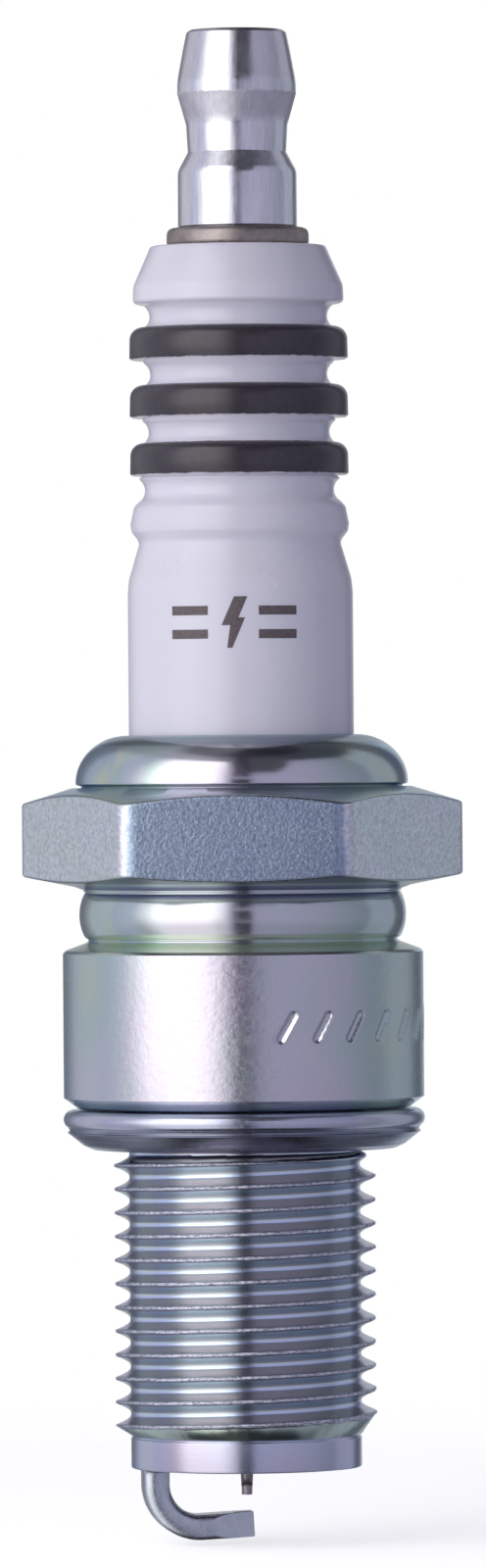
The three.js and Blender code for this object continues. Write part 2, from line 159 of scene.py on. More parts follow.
def helix(thread, high, low, fade, angles, rows_per_turn=20, roughness=0.0):
    """Rows of a right-hand thread from high to low, with rounded roots, which fades out at both ends."""
    pitch = thread["pitch"]
    root_start = 0.44  # from the middle of a crest, as a share of the pitch
    turns = math.ceil((high - low) / pitch) + 1
    fractions = np.concatenate([np.arange(rows_per_turn) / rows_per_turn] * turns + [[0.0]])
    start = thread["first_crest"] + pitch * math.ceil((high - thread["first_crest"]) / pitch)
    whole_turns = np.repeat(np.arange(turns + 1), rows_per_turn)[: len(fractions)]
    heights = start - pitch * (whole_turns + fractions)
    z = np.clip(heights[:, None] + pitch * angles / (2 * math.pi), low, high)
    from_crest = np.minimum(fractions, 1 - fractions)
    rise = np.clip((root_start - from_crest) / (root_start - thread["land"]), 0, 1)
    flank = rise ** thread["hollow"]
    depth = thread["crest"] - thread["root"]
    ends = np.clip(np.minimum(high - z, z - low) / fade, 0, 1)
    radius = thread["root"] + depth * flank[:, None] * ends
    points = np.stack([radius * np.cos(angles), radius * np.sin(angles), z], axis=-1)
    if roughness:
        # The crests alone are rough, from rolling.
        grain = ripple(points, size=0.42, seed=3)
        shift = roughness * grain * flank[:, None] ** 4 * ends
        points[..., 0] += shift * np.cos(angles)
        points[..., 1] += shift * np.sin(angles)
    return points


def add_object(name, data):
    made = bpy.data.objects.new(name, data)
    bpy.context.scene.collection.objects.link(made)
    return made


def finished_mesh(name, built):
    mesh = bpy.data.meshes.new(name)
    built.to_mesh(mesh)
    built.free()
    return mesh


def piece(name, points, body, materials, replaces, paint=None):
    """Makes a closed mesh through a grid of points, which rides on a body and stands for a CAD node.

    The grid's last column meets the first. Its last row meets the first as well, or each is one point.
    """
    merge_distance, least_edge = 2e-7, 1e-8  # metres
    rows, columns = points.shape[:2]
    first = np.add.outer(np.arange(rows - 1) * columns, np.arange(columns - 1)).ravel()
    faces = np.stack([first, first + columns, first + columns + 1, first + 1], axis=-1)
    mesh = bpy.data.meshes.new(name)
    mesh.from_pydata((points.reshape(-1, 3) * MM).tolist(), [], faces.tolist())
    built = bmesh.new()
    built.from_mesh(mesh)
    bmesh.ops.remove_doubles(built, verts=built.verts, dist=merge_distance)
    bmesh.ops.dissolve_degenerate(built, edges=built.edges, dist=least_edge)
    for face in built.faces:
        face.smooth = True
        if paint:
            face.material_index = paint(face.calc_center_median() / MM, face.normal)
    built.to_mesh(mesh)
    built.free()
    made = add_object(name, mesh)
    for each in materials:
        mesh.materials.append(each)
    weighted = made.modifiers.new("weighted_normals", "WEIGHTED_NORMAL")
    weighted.keep_sharp = True
    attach(made, body)
    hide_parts(replaces)


# -- Materials --


class Look:
    """A Principled material and the nodes that vary it, with lengths in millimetres."""

    def __init__(self, name, **sockets):
        self.material = bpy.data.materials.new(name)
        self.material.use_nodes = True
        self.tree = self.material.node_tree
        self.shader = self.tree.nodes["Principled BSDF"]
        for socket, value in sockets.items():
            self.shader.inputs[socket.replace("_", " ")].default_value = value
        coordinates = self.tree.nodes.new("ShaderNodeTexCoord")
        self.place = self.vector("SCALE", coordinates.outputs["Object"], Scale=1 / MM)
        self.x, self.y, self.z = self.node("ShaderNodeSeparateXYZ", Vector=self.place).outputs
        facing = self.node("ShaderNodeSeparateXYZ", Vector=coordinates.outputs["Normal"])
        self.sideways, _, self.slope = facing.outputs  # 1 faces +X or straight up, -1 the other way

    def node(self, kind, settings=(), **inputs):
        made = self.tree.nodes.new(kind)
        for setting, value in dict(settings).items():
            setattr(made, setting, value)
        for name, value in inputs.items():
            self.plug(made.inputs[name.replace("_", " ")], value)
        return made

    def plug(self, socket, value):
        if isinstance(value, bpy.types.NodeSocket):
            self.tree.links.new(value, socket)
        else:
            socket.default_value = value

    def vector(self, operation, value, other=None, **inputs):
        made = self.node("ShaderNodeVectorMath", {"operation": operation}, **inputs)
        self.plug(made.inputs[0], value)
        if other is not None:
            self.plug(made.inputs[1], other)
        return made.outputs["Value" if operation in ("LENGTH", "DOT_PRODUCT") else "Vector"]

    def math(self, operation, *values, clamp=False):
        made = self.node("ShaderNodeMath", {"operation": operation, "use_clamp": clamp})
        for socket, value in zip(made.inputs, values):
            self.plug(socket, value)
        return made.outputs[0]

    def times(self, first, second):
        return self.math("MULTIPLY", first, second)

    def stretched(self, x, y, z):
        return self.vector("MULTIPLY", self.place, (x, y, z))

    def noise(self, scale, detail=2.0, roughness=0.5, place=None, distortion=0.0):
        made = self.node("ShaderNodeTexNoise", Scale=scale, Detail=detail, Roughness=roughness,
                         Distortion=distortion, Vector=place or self.place)
        return made.outputs["Fac"]

    def ramp(self, factor, *stops):
        """A colour or a number that follows a factor through (position, value) stops."""
        made = self.node("ShaderNodeValToRGB", Fac=factor)
        elements = made.color_ramp.elements
        while len(elements) < len(stops):
            elements.new(1.0)
        for element, (position, value) in zip(elements, stops):
            element.position = position
            element.color = (*value, 1) if isinstance(value, tuple) else (value, value, value, 1)
        return made.outputs["Color"]

    def mix(self, factor, first, second):
        """Goes from the first colour or number to the second one as the factor goes from 0 to 1."""
        made = self.node("ShaderNodeMix", {"data_type": "RGBA"})
        self.plug(made.inputs[0], factor)
        for socket, value in ((made.inputs[6], first), (made.inputs[7], second)):
            if isinstance(value, float):
                value = (value, value, value)
            self.plug(socket, (*value, 1) if isinstance(value, tuple) else value)
        return made.outputs[2]

    def radius(self):
        return self.vector("LENGTH", self.stretched(1, 1, 0))

    def band(self, value, low, high, edge):
        """1 where a value is between two limits, with soft edges."""
        above = self.math("DIVIDE", self.math("SUBTRACT", value, low), edge, clamp=True)
        below = self.math("DIVIDE", self.math("SUBTRACT", high, value), edge, clamp=True)
        return self.times(above, below)

    def smooth(self, value, low, high):
        """Goes smoothly from 0 to 1 as the value goes from low to high."""
        made = self.node("ShaderNodeMapRange", {"interpolation_type": "SMOOTHSTEP"}, Value=value)
        self.plug(made.inputs["From Min"], low)
        self.plug(made.inputs["From Max"], high)
        return made.outputs["Result"]

    def wave_round(self):
        """0 on the plug's front (-Y) and back, 1 on its two sides."""
        angle = self.math("ARCTAN2", self.x, self.y)
        sine = self.math("SINE", angle)
        return self.times(sine, sine)

    def colour(self, value):
        self.plug(self.shader.inputs["Base Color"], value)

    def roughness(self, value):
        self.plug(self.shader.inputs["Roughness"], value)

    def bump(self, height, distance):
        """Adds relief to the surface, its full height given in millimetres."""
        normal = self.shader.inputs["Normal"]
        made = self.node("ShaderNodeBump", Height=height, Distance=distance * MM)
        if normal.links:
            self.tree.links.new(normal.links[0].from_socket, made.inputs["Normal"])
        self.tree.links.new(made.outputs["Normal"], normal)


def turned_aluminium():
    """Drawn lengthwise and then turned, with a dull neck cone and a duller band above it."""
    look = Look("turned_aluminium", Metallic=1.0)
    streaks = look.noise(5.0, 3, 0.55, look.stretched(1, 1, 0.12))
    cloud = look.noise(0.9, 3)
    rings = look.noise(1.0, 3, 0.6, look.stretched(0.4, 0.4, 14))
    ragged = look.math("MULTIPLY_ADD", look.noise(3.0, 3), 0.3, look.math("SUBTRACT", look.z, 0.15))
    dull = look.band(ragged, NUT_TOP - 3.6, NUT_TOP - 2.75, 0.12)
    colour = look.mix(look.ramp(streaks, (0.35, 0.0), (0.7, 1.0)), (0.74, 0.74, 0.79), (0.86, 0.86, 0.89))
    neck_cone = look.times(look.smooth(ragged, NUT_TOP - 3.3, NUT_TOP - 3.44),
                           look.smooth(look.z, NUT_TOP - 5.1, NUT_TOP - 4.5))
    furrows = look.ramp(look.noise(7, 3, 0.6, look.stretched(1, 1, 0.12)), (0.35, 0.55), (0.65, 0.35))
    colour = look.mix(look.times(neck_cone, furrows), colour, (0.36, 0.34, 0.38))
    top_cone = look.times(look.smooth(look.z, NUT_TOP - 2.75, NUT_TOP - 2.6), 0.5)
    look.colour(look.mix(top_cone, colour, (0.7, 0.67, 0.7)))
    shine = look.math("ADD", look.times(streaks, 0.14), look.times(cloud, 0.28))
    shine = look.math("MULTIPLY_ADD", dull, 0.1, shine)
    look.roughness(look.math("MULTIPLY_ADD", neck_cone, 0.26, shine))
    look.bump(streaks, 0.004)
    look.bump(rings, 0.001)
    return look.material


def nickel_plated_steel():
    look = Look("nickel_plated_steel", Metallic=1.0)
    cloud = look.noise(1.6, 4, 0.6)
    look.colour(look.ramp(cloud, (0.3, (0.3, 0.26, 0.25)), (0.7, (0.47, 0.41, 0.38))))
    look.roughness(look.ramp(cloud, (0.3, 0.34), (0.7, 0.46)))
    look.bump(look.noise(14, 3), 0.008)
    return look.material


def glazed_alumina():
    """White glaze, black on the outside of the upper ribs, with the slight wave of a fired glaze."""
    look = Look("glazed_alumina", Specular_IOR_Level=0.65, Subsurface_Weight=0.08, Subsurface_Scale=0.002)
    wander = look.times(look.math("SUBTRACT", look.noise(2.2, 3), 0.5), 0.12)
    height = look.math("ADD", look.z, wander)
    black = None
    for rib in range(BLACK_RIBS["count"]):
        high = BLACK_RIBS["top"] - rib * BLACK_RIBS["pitch"]
        band = look.band(height, high - BLACK_RIBS["height"] + 0.02, high - 0.03, 0.03)
        black = band if black is None else look.math("MAXIMUM", black, band)
    groove_wall, sharpness = 5.02, 30  # the black stops at this radius, over a thirtieth of a millimetre
    outwards = look.math("SUBTRACT", look.radius(), groove_wall)
    outside = look.math("MULTIPLY", outwards, sharpness, clamp=True)
    black = look.times(black, outside)
    cloud = look.noise(0.35, 2)
    white = look.mix(cloud, (0.74, 0.725, 0.8), (0.785, 0.77, 0.84))
    dark = look.mix(look.noise(3, 3), (0.03, 0.025, 0.033), (0.05, 0.041, 0.053))
    look.colour(look.mix(black, white, dark))
    grooves = look.smooth(look.radius(), 5.5, 5.1)
    gloss = look.mix(grooves, look.ramp(cloud, (0.3, 0.2), (0.7, 0.28)), 0.1)
    look.roughness(look.mix(black, gloss, 0.25))
    look.bump(look.noise(0.6, 1), 0.006)
    return look.material


# Passivation goes from mauve through grey and teal to yellow-green and blue as it gets thicker.
ZINC_TINTS = (
    (0.1, (0.76, 0.68, 0.72)),
    (0.38, (0.7, 0.7, 0.69)),
    (0.62, (0.62, 0.71, 0.64)),
    (0.82, (0.7, 0.73, 0.57)),
    (1.0, (0.52, 0.62, 0.67)),
)
# Tints of the hexagon's flats: the dark blue ones are painted reflection, the pale ones the plate's
# colours.
HEXAGON_TINTS_AND_SHADE = (
    (0.0, (0.37, 0.43, 0.54)),
    (0.16, (0.42, 0.49, 0.58)),
    (0.32, (0.84, 0.82, 0.84)),
    (0.68, (0.86, 0.8, 0.8)),
    (0.8, (0.8, 0.83, 0.76)),
    (0.95, (0.86, 0.82, 0.85)),
)
GASKET_TINTS = ((0.2, (0.64, 0.63, 0.72)), (0.4, (0.72, 0.69, 0.74)), (0.7, (0.66, 0.68, 0.68)))


def zinc_plate(name, tints, grain_size, relief, roughness, slope_tint=0.0):
    """Bright zinc with the faint colours of its passivation, and the grain of the steel below."""
    look = Look(name, Metallic=1.0, Coat_Weight=1.0, Coat_IOR=1.05, Coat_Roughness=0.2,
                Coat_Tint=(0.9, 0.94, 0.98, 1))
    drift = look.math("SUBTRACT", look.noise(0.2, 3, 0.55, look.stretched(1, 1, 0.6), 0.6), 0.44)
    wave = look.times(look.wave_round(), look.math("MULTIPLY_ADD", look.z, 0.018, 0.35))
    hue = look.math("ADD", look.math("MULTIPLY_ADD", drift, 1.35, 0.12), wave)
    if slope_tint:
        hue = look.math("MULTIPLY_ADD", look.math("ABSOLUTE", look.slope), slope_tint, hue)
    look.tint = look.ramp(hue, *tints)
    look.colour(look.tint)
    grain = look.noise(1 / grain_size, 4, 0.65)
    look.shine = look.ramp(grain, (0.3, roughness[0]), (0.7, roughness[1]))
    look.roughness(look.shine)
    look.bump(grain, relief)
    return look


def zinc_smooth():
    """Crimp and groove: a painted dark reflection atop the crimp, a yellow-green ledge, and painted shade
    in fringes below the hexagon.
    """
    look = zinc_plate("zinc_smooth", ZINC_TINTS, grain_size=0.5, relief=0.002,
                      roughness=(0.12, 0.2), slope_tint=0.24)
    # Painted dark reflection: a dark band round the crimp's top, where the dome faces the dark above it.
    dark_top_reflection = look.times(look.band(look.z, 19.1, 19.72, 0.15), 0.65)
    colour = look.mix(dark_top_reflection, look.tint, (0.22, 0.24, 0.26))
    # Painted shade: faces turned down are darkened, in bands of colour like thin-film fringes that run
    # outwards.
    underside_shade = look.smooth(look.slope, -0.85, -0.96)
    fringe_start, fringes_per_mm = 8.8, 0.7
    outwards = look.math("SUBTRACT", look.radius(), fringe_start)
    fringes_and_shade = look.ramp(look.times(outwards, fringes_per_mm),
                        (0.0, (0.2, 0.19, 0.32)), (0.3, (0.3, 0.28, 0.36)), (0.55, (0.6, 0.64, 0.4)),
                        (0.75, (0.28, 0.29, 0.26)), (1.0, (0.14, 0.13, 0.12)))
    ledge = look.times(look.smooth(look.slope, 0.6, 0.9), look.band(look.z, 8.2, 9.4, 0.2))
    colour = look.mix(look.times(ledge, 0.7), colour, (0.78, 0.8, 0.5))
    look.colour(look.mix(underside_shade, colour, fringes_and_shade))
    facets = look.smooth(look.math("ABSOLUTE", look.slope), 0.86, 0.95)
    look.roughness(look.mix(facets, look.shine, 0.33))
    look.bump(look.noise(1.0, 2, 0.5, look.stretched(0.2, 0.2, 9)), 0.002)
    return look.material


def zinc_barrel():
    """Turned and a little pitted, with the colours of the plate at their clearest."""
    look = zinc_plate("zinc_barrel", ZINC_TINTS, grain_size=0.26, relief=0.011,
                      roughness=(0.2, 0.3), slope_tint=-0.25)
    look.bump(look.noise(2.2, 3), 0.01)
    return look.material


def zinc_hexagon():
    """Flats as they were forged, with a fine sparkling grain; the front and back flats get a painted dark
    blue reflection.
    """
    look = zinc_plate("zinc_hexagon", HEXAGON_TINTS_AND_SHADE, grain_size=0.17, relief=0.024, roughness=(0.2, 0.3))
    # Painted reflection: flats facing front and back take the dark blue tints, the side flats the pale
    # ones.
    side = look.times(look.sideways, look.sideways)
    hue = look.math("MULTIPLY_ADD", look.math("SUBTRACT", look.noise(0.35, 3), 0.3), 0.4, side)
    speckle = look.ramp(look.noise(4.2, 5, 0.72), (0.3, 0.7), (0.7, 1.32))
    look.colour(look.vector("MULTIPLY", look.ramp(hue, *HEXAGON_TINTS_AND_SHADE), speckle))
    return look.material


def zinc_thread():
    """Rolled thread: rough crests, blue-white roots with a painted highlight turning violet below, painted
    shade on faces turned down.
    """
    look = zinc_plate("zinc_thread", ZINC_TINTS, grain_size=0.4, relief=0.003, roughness=(0.12, 0.2))
    # Colour by which way a face turns, partly painted light: painted shade on faces turned down, a painted
    # highlight on the roots.
    flank_shading_and_tint = look.ramp(look.math("MULTIPLY_ADD", look.slope, 0.5, 0.5),
                       (0.1, (0.52, 0.62, 0.48)), (0.32, (0.72, 0.8, 0.68)), (0.46, (0.84, 0.91, 0.95)),
                       (0.56, (0.75, 0.82, 1.0)), (0.7, (0.68, 0.66, 0.87)), (0.92, (0.68, 0.5, 0.58)))
    crest = look.smooth(look.radius(), THREAD["crest"] - 0.16, THREAD["crest"] - 0.05)
    threaded = look.smooth(look.z, SHELL_END + 1.9, SHELL_END + 1.6)
    scale = look.noise(6.5, 4, 0.7, look.stretched(0.7, 0.7, 1.3))
    crest_colour = look.ramp(scale, (0.38, (0.4, 0.37, 0.42)), (0.58, (0.97, 0.95, 1.0)))
    # Painted shade on the side of the crests that turns down.
    crest_colour = look.mix(look.smooth(look.slope, -0.2, -0.8), crest_colour, (0.3, 0.28, 0.32))
    pilot = look.ramp(look.noise(0.25, 2), (0.35, (0.78, 0.66, 0.76)), (0.65, (0.7, 0.72, 0.8)))
    body = look.mix(threaded, flank_shading_and_tint, pilot)
    look.colour(look.mix(crest, body, crest_colour))
    look.roughness(look.mix(crest, 0.2, 0.34))
    look.bump(look.noise(1.0, 3, 0.6, look.stretched(0.2, 0.2, 9)), 0.005)
    look.bump(look.times(scale, crest), 0.07)
    return look.material


def gasket_steel():
    """Thin pressed sheet, drawn streaky, with painted shade on the bowl below its bead."""
    look = zinc_plate("gasket_steel", GASKET_TINTS, grain_size=0.35, relief=0.004, roughness=(0.16, 0.28))
    streaks = look.noise(1.0, 2, 0.5, look.stretched(0.3, 0.3, 8))
    # Painted shade: the bowl below the bead is darkened, more in some streaks than in others.
    streaky_shade = look.ramp(streaks, (0.35, 0.75), (0.65, 0.45))
    bowl_shade = look.times(look.smooth(look.z, -0.9, -1.1), streaky_shade)
    look.colour(look.mix(bowl_shade, look.tint, (0.16, 0.17, 0.2)))
    look.bump(streaks, 0.004)
    return look.material


def nickel_alloy():
    """Drawn nickel alloy, a little blue from the heat of the weld."""
    look = Look("nickel_alloy", Metallic=1.0)
    cloud = look.noise(1.3, 4, 0.6)
    grain = look.noise(9, 4, 0.6)
    colour = look.ramp(cloud,
                       (0.35, (0.56, 0.65, 0.68)), (0.5, (0.66, 0.69, 0.74)), (0.66, (0.6, 0.64, 0.69)))
    wire_weld = look.band(look.z, -20.2, SHELL_END + 0.1, 0.2)
    near_wire = look.times(wire_weld, look.smooth(look.radius(), 1.3, 0.7))
    look.colour(look.mix(near_wire, colour, (0.3, 0.26, 0.28)))
    look.roughness(look.math("MULTIPLY_ADD", near_wire, 0.15, look.ramp(grain, (0.3, 0.23), (0.7, 0.33))))
    look.bump(cloud, 0.02)
    look.bump(grain, 0.004)
    return look.material


def iridium_alloy():
    look = Look("iridium_alloy", Metallic=1.0)
    cloud = look.noise(5, 3)
    look.colour(look.ramp(cloud, (0.35, (0.36, 0.31, 0.33)), (0.65, (0.5, 0.45, 0.48))))
    look.roughness(look.ramp(cloud, (0.3, 0.42), (0.7, 0.56)))
    look.bump(look.noise(18, 2), 0.006)
    return look.material


def mottled(name, dark, light, size, relief, roughness, metallic=0.0):
    """A plain material for what is sealed inside the plug: two shades in an irregular grain."""
    look = Look(name, Metallic=metallic)
    grain = look.noise(1 / size, 4, 0.6)
    look.colour(look.ramp(grain, (0.3, dark), (0.7, light)))
    look.roughness(look.ramp(grain, (0.3, roughness[0]), (0.7, roughness[1])))
    look.bump(grain, relief)
    return look.material


def printing_ink():
    look = Look("printing_ink")
    grain = look.noise(7, 3)
    look.colour(look.ramp(grain, (0.35, (0.1, 0.075, 0.08)), (0.65, (0.15, 0.12, 0.13))))
    look.roughness(look.ramp(grain, (0.3, 0.4), (0.7, 0.55)))
    return look.material


ALUMINIUM = turned_aluminium()
NICKEL_PLATE = nickel_plated_steel()
GLAZE = glazed_alumina()
ZINC = zinc_smooth()
ZINC_BARREL = zinc_barrel()
ZINC_HEXAGON = zinc_hexagon()
ZINC_THREAD = zinc_thread()
GASKET_STEEL = gasket_steel()
NICKEL_ALLOY = nickel_alloy()
IRIDIUM = iridium_alloy()
INK = printing_ink()

# -- Terminal --


def make_terminal_nut():
    rows = outline(
        (0, NUT_TOP - 0.02),
        (2.47, NUT_TOP - 0.04, 0.1),
        (2.64, NUT_TOP - 0.19, 0.12),
        (2.82, NUT_TOP - 1.05, 0.9),
        (NUT["radius"] - 0.01, NUT_TOP - 2.72, 5),
        (NUT["radius"], NUT_TOP - 3.42, 0.08),
        (NUT["neck"] + 0.08, NUT_TOP - 5.05, 0.5),
        (NUT["neck"], NUT_TOP - 6.5, 0.06),
        (NUT["radius"], NUT_TOP - 7.5, 0.9),
        (NUT["radius"] + 0.01, NUT_FOOT, 0.05),
        (NUT["bore"] + 0.25, NUT_FOOT, 0.04),
        (NUT["bore"], NUT_FOOT + 0.25, 0.04),
        (NUT["bore"], STUD_TOP + 0.5),
        (0, STUD_TOP + 1.1),
    )
    piece("terminal_nut_turned", turned(rows, ROUND), "terminal_nut", [ALUMINIUM],
          replaces="terminal_nut")


def make_terminal_stud():
    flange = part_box("terminal_stud")[1].y / MM
    seat = NUT_FOOT - 0.05
    root = STUD_THREAD["root"]
    above = outline((0, STUD_TOP), (root - 0.3, STUD_TOP, 0.08), (root, STUD_TOP - 0.3))
    thread = helix(STUD_THREAD, STUD_TOP - 0.3, seat + 0.25, 0.5, SLIM_ROUND)
    below = outline(
        (root, seat + 0.25),
        (root + 0.1, seat, 0.04),
        (flange, seat, 0.42),
        (flange, INSULATOR_TOP, 0.22),
        (3.3, INSULATOR_TOP + 0.01, 0.05),
        (1.95, INSULATOR_TOP + 0.01),
        (1.95, 16),
        (1.5, 15.6),
        (1.5, STUD_END + 0.3, 0.1),
        (1.2, STUD_END),
        (0, STUD_END),
    )
    points = np.concatenate([turned(above, SLIM_ROUND), thread, turned(below, SLIM_ROUND)])
    piece("terminal_stud_threaded", points, "plug", [NICKEL_PLATE],
          replaces="terminal_stud")


# -- Insulator --

GROOVE_RADII = (4.7, 4.68, 4.78, 5.0)  # narrowest radius of the groove above each rib


def rib_corners():
    """Corners of the black ribs, with a round groove above each and above the white rib below them."""
    corners = []
    out = BLACK_RIBS["radius"]
    for i, groove in enumerate(GROOVE_RADII):
        high = BLACK_RIBS["top"] - i * BLACK_RIBS["pitch"]
        corners += arc((groove + 0.75, high + 0.52), (0.75, 0.72), 125, 235, 14)
        if i < BLACK_RIBS["count"]:
            low = high - BLACK_RIBS["height"]
            corners += [(5.08, high - 0.07, 0.06)]
            corners += arc((out - 0.68, high - 0.72), (0.65, 0.68), 80, 4, 9)
            corners += [(out - 0.01, low + 0.1), (out - 0.12, low), (5.1, low + 0.02, 0.08)]
    return corners


def make_insulator():
    upper = [
        (2.0, INSULATOR_TOP - 0.3),
        (2.05, INSULATOR_TOP, 0.05),
        (4.62, INSULATOR_TOP, 0.22),
        (5.54, INSULATOR_TOP - 2.1, 0.9),
        (5.58, INSULATOR_TOP - 3.02, 0.3),
    ]
    lower = [
        (5.6, 31.75, 0.5),
        (5.78, 30.85, 0.5),
        (5.72, 30.45, 0.4),
        (5.3, 29.9, 0.45),
        (5.88, 27.95, 1.6),
        (NECK_RADIUS, 27.2, 0.5),
        (NECK_RADIUS, 13.3),
        (7.4, 12.5, 0.3),
        (7.4, 4.9, 0.3),
        (4.85, 3.2, 0.3),
        (4.85, -6.2, 0.3),
        (3.7, -7, 0.3),
        (2.45, NOSE_TIP, 0.25),
        (1.32, NOSE_TIP, 0.08),
        (1.32, -5.2),
        (2.1, -4.4),
        (2.0, INSULATOR_TOP - 0.3),
    ]
    rows = outline(*upper, *rib_corners(), *lower)
    piece("insulator_glazed", turned(rows, ROUND), "plug", [GLAZE], replaces="insulator")


# -- Printed mark: a plain bolt of lightning between two pairs of bars --

MARK = {
    "height": 25.6,  # of its middle, on the neck
    "centre": -91.5,  # degrees round from +X
    "tall": 2.7,
    "gap": 1.35,  # from the middle to the bars
    "bar": 2.1,
    "bar_thickness": 0.48,
    "bar_height": 0.62,
    "ink": 0.012,
}


def printed_patch(corners):
    """Both sides of a thin patch of ink on the neck, from four corners (along the surface, height)."""
    a, b, c, d = (np.array(corner, float) for corner in corners)
    u, v = np.meshgrid(np.linspace(0, 1, 13), np.linspace(0, 1, 5))
    flat = (a * ((1 - u) * (1 - v))[..., None] + b * (u * (1 - v))[..., None]
            + c * (u * v)[..., None] + d * ((1 - u) * v)[..., None])
    angle = math.radians(MARK["centre"]) + flat[..., 0] / NECK_RADIUS
    height = MARK["height"] + flat[..., 1]

    def layer(radius):
        return np.stack([radius * np.cos(angle), radius * np.sin(angle), height], axis=-1)

    return layer(NECK_RADIUS - 0.01), layer(NECK_RADIUS + MARK["ink"])


def patch_mesh(name, layers_of_patches):
    """One mesh of closed thin slabs, each from an inner and an outer layer of points."""
    built = bmesh.new()
    for inner, outer in layers_of_patches:
        rows, columns = inner.shape[:2]
        low = [[built.verts.new(p * MM) for p in row] for row in inner]
        high = [[built.verts.new(p * MM) for p in row] for row in outer]
        for i in range(rows - 1):
            for j in range(columns - 1):
                built.faces.new([high[i][j], high[i][j + 1], high[i + 1][j + 1], high[i + 1][j]])
                built.faces.new([low[i][j], low[i + 1][j], low[i + 1][j + 1], low[i][j + 1]])
        rim = [(0, j) for j in range(columns)] + [(i, columns - 1) for i in range(1, rows)]
        rim += [(rows - 1, j) for j in range(columns - 2, -1, -1)]
        rim += [(i, 0) for i in range(rows - 2, 0, -1)]
        for (i, j), (k, m) in zip(rim, rim[1:] + rim[:1]):
            built.faces.new([low[i][j], low[k][m], high[k][m], high[i][j]])
    bmesh.ops.recalc_face_normals(built, faces=built.faces)
    return finished_mesh(name, built)


def make_printed_mark():
    half = MARK["tall"] / 2
    thick = MARK["bar_thickness"]
    shapes = []
    for side in (-1, 1):
        inner = side * MARK["gap"]
        outer = side * (MARK["gap"] + MARK["bar"])
        left, right = min(inner, outer), max(inner, outer)
        for height in (-MARK["bar_height"], MARK["bar_height"]):
            foot, head = height - thick / 2, height + thick / 2
            shapes.append([(left, foot), (right, foot), (right, head), (left, head)])
    # The bolt: its upper half, then its lower half.
    shapes.append([(-0.62, -0.16), (0.1, -0.16), (0.75, half), (0.05, half)])
    shapes.append([(-0.05, -half), (0.62, 0.24), (-0.1, 0.24), (-0.32, -half)])
    mesh = patch_mesh("printed_mark", [printed_patch(shape) for shape in shapes])
    mesh.materials.append(INK)
    made = add_object("printed_mark", mesh)
    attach(made, "plug")


# -- Metal shell --


def hexagon_radius(angles):
    """Distance from the axis to the side of a hexagon with rounded corners, the first towards +X."""
    sixth = math.pi / 3
    from_corner = np.abs((angles + sixth / 2) % sixth - sixth / 2)
    centre = (FLATS - CORNER_ROUNDING) / math.cos(sixth / 2)
    tangent = math.atan2(CORNER_ROUNDING / 2, centre + CORNER_ROUNDING * math.cos(sixth / 2))
    flat = FLATS / np.cos(sixth / 2 - from_corner)
    inside = np.maximum(CORNER_ROUNDING**2 - (centre * np.sin(from_corner)) ** 2, 0)
    corner = centre * np.cos(from_corner) + np.sqrt(inside)
    return np.where(from_corner < tangent, corner, flat)


def shell_columns():
    """Angles round the shell: closer together at the hexagon's corners and over the stamped dashes."""
    plain_step, corner_step, dash_step, least_step = 2.0, 0.7, 0.45, 0.2  # degrees
    angles = list(np.arange(0, 360, plain_step))
    for corner in range(0, 360, 60):
        angles += list(np.arange(corner - 7, corner + 7.1, corner_step) % 360)
    last = DASHES["first"] + DASHES["step"] * DASHES["count"]
    angles += list(np.arange(DASHES["first"] - 5, last, dash_step) % 360)
    angles = np.unique(np.round(angles, 3))
    angles = angles[np.concatenate([[True], np.diff(angles) > least_step])]
    return np.radians(np.append(angles[angles < 360 - least_step], 360.0))


def dash_depth(angles, heights):
    """How deep the slanted dashes are stamped into the barrel at each angle and height."""
    along, across = np.meshgrid(angles, heights)
    depth = np.zeros_like(along)
    half = np.array([DASHES["lean"] / 2, DASHES["length"] / 2])
    for i in range(DASHES["count"]):
        centre = math.radians(DASHES["first"] + i * DASHES["step"])
        turn = (along - centre + math.pi) % (2 * math.pi) - math.pi
        place = np.stack([turn * BARREL["radius"], across - DASHES["height"]], axis=-1)
        share = np.clip((place @ half) / (half @ half), -1, 1)
        distance = np.linalg.norm(place - share[..., None] * half, axis=-1)
        groove = DASH_GROOVE["depth"] * np.clip(1 - (distance / DASH_GROOVE["half_width"]) ** 2, 0, 1)
        from_lip = (distance - DASH_GROOVE["half_width"]) / DASH_GROOVE["lip_width"] - 1
        depth += groove - DASH_GROOVE["lip"] * np.exp(-(from_lip**2))
    return depth


def crimp_rows():
    """The wall of the hollow above its step, then the crimp's dome down to the hexagon."""
    foot = 17.18
    return outline(
        (HOLLOW["wide"], HOLLOW["step_top"]),
        (HOLLOW["wide"], foot + 0.02),
        (NECK_RADIUS + 0.07, 17.9),
        (NECK_RADIUS + 0.07, CRIMP_TOP - 0.15),
        *arc((6.05, foot), (2.74, CRIMP_TOP - foot), 88, 0, 26),
        *arc((8.66, foot), (0.13, 0.1), -20, -90, 4),
        (8.5, 17.03),
        (8.5, 16.84, 0.03),
        (8.75, 16.86),
    )


def hexagon_rows(angles):
    side = hexagon_radius(angles)
    cone_top, cone_foot = 0.31, 0.2  # slopes of the chamfers above and below the hexagon
    high, low = 16.55, 12.0  # of the flats at their middle
    above, below = np.full_like(side, 9.0), np.full_like(side, 8.9)  # radii where the chamfers start
    corners = [
        (above, high - cone_top * (above - FLATS)),
        (side, high - cone_top * (side - FLATS)),
        (side, low + cone_foot * (side - FLATS)),
        (below, low + cone_foot * (below - FLATS)),
    ]
    return rounded(np.array([np.stack(corner, axis=-1) for corner in corners]), [0, 0.22, 0.22, 0])


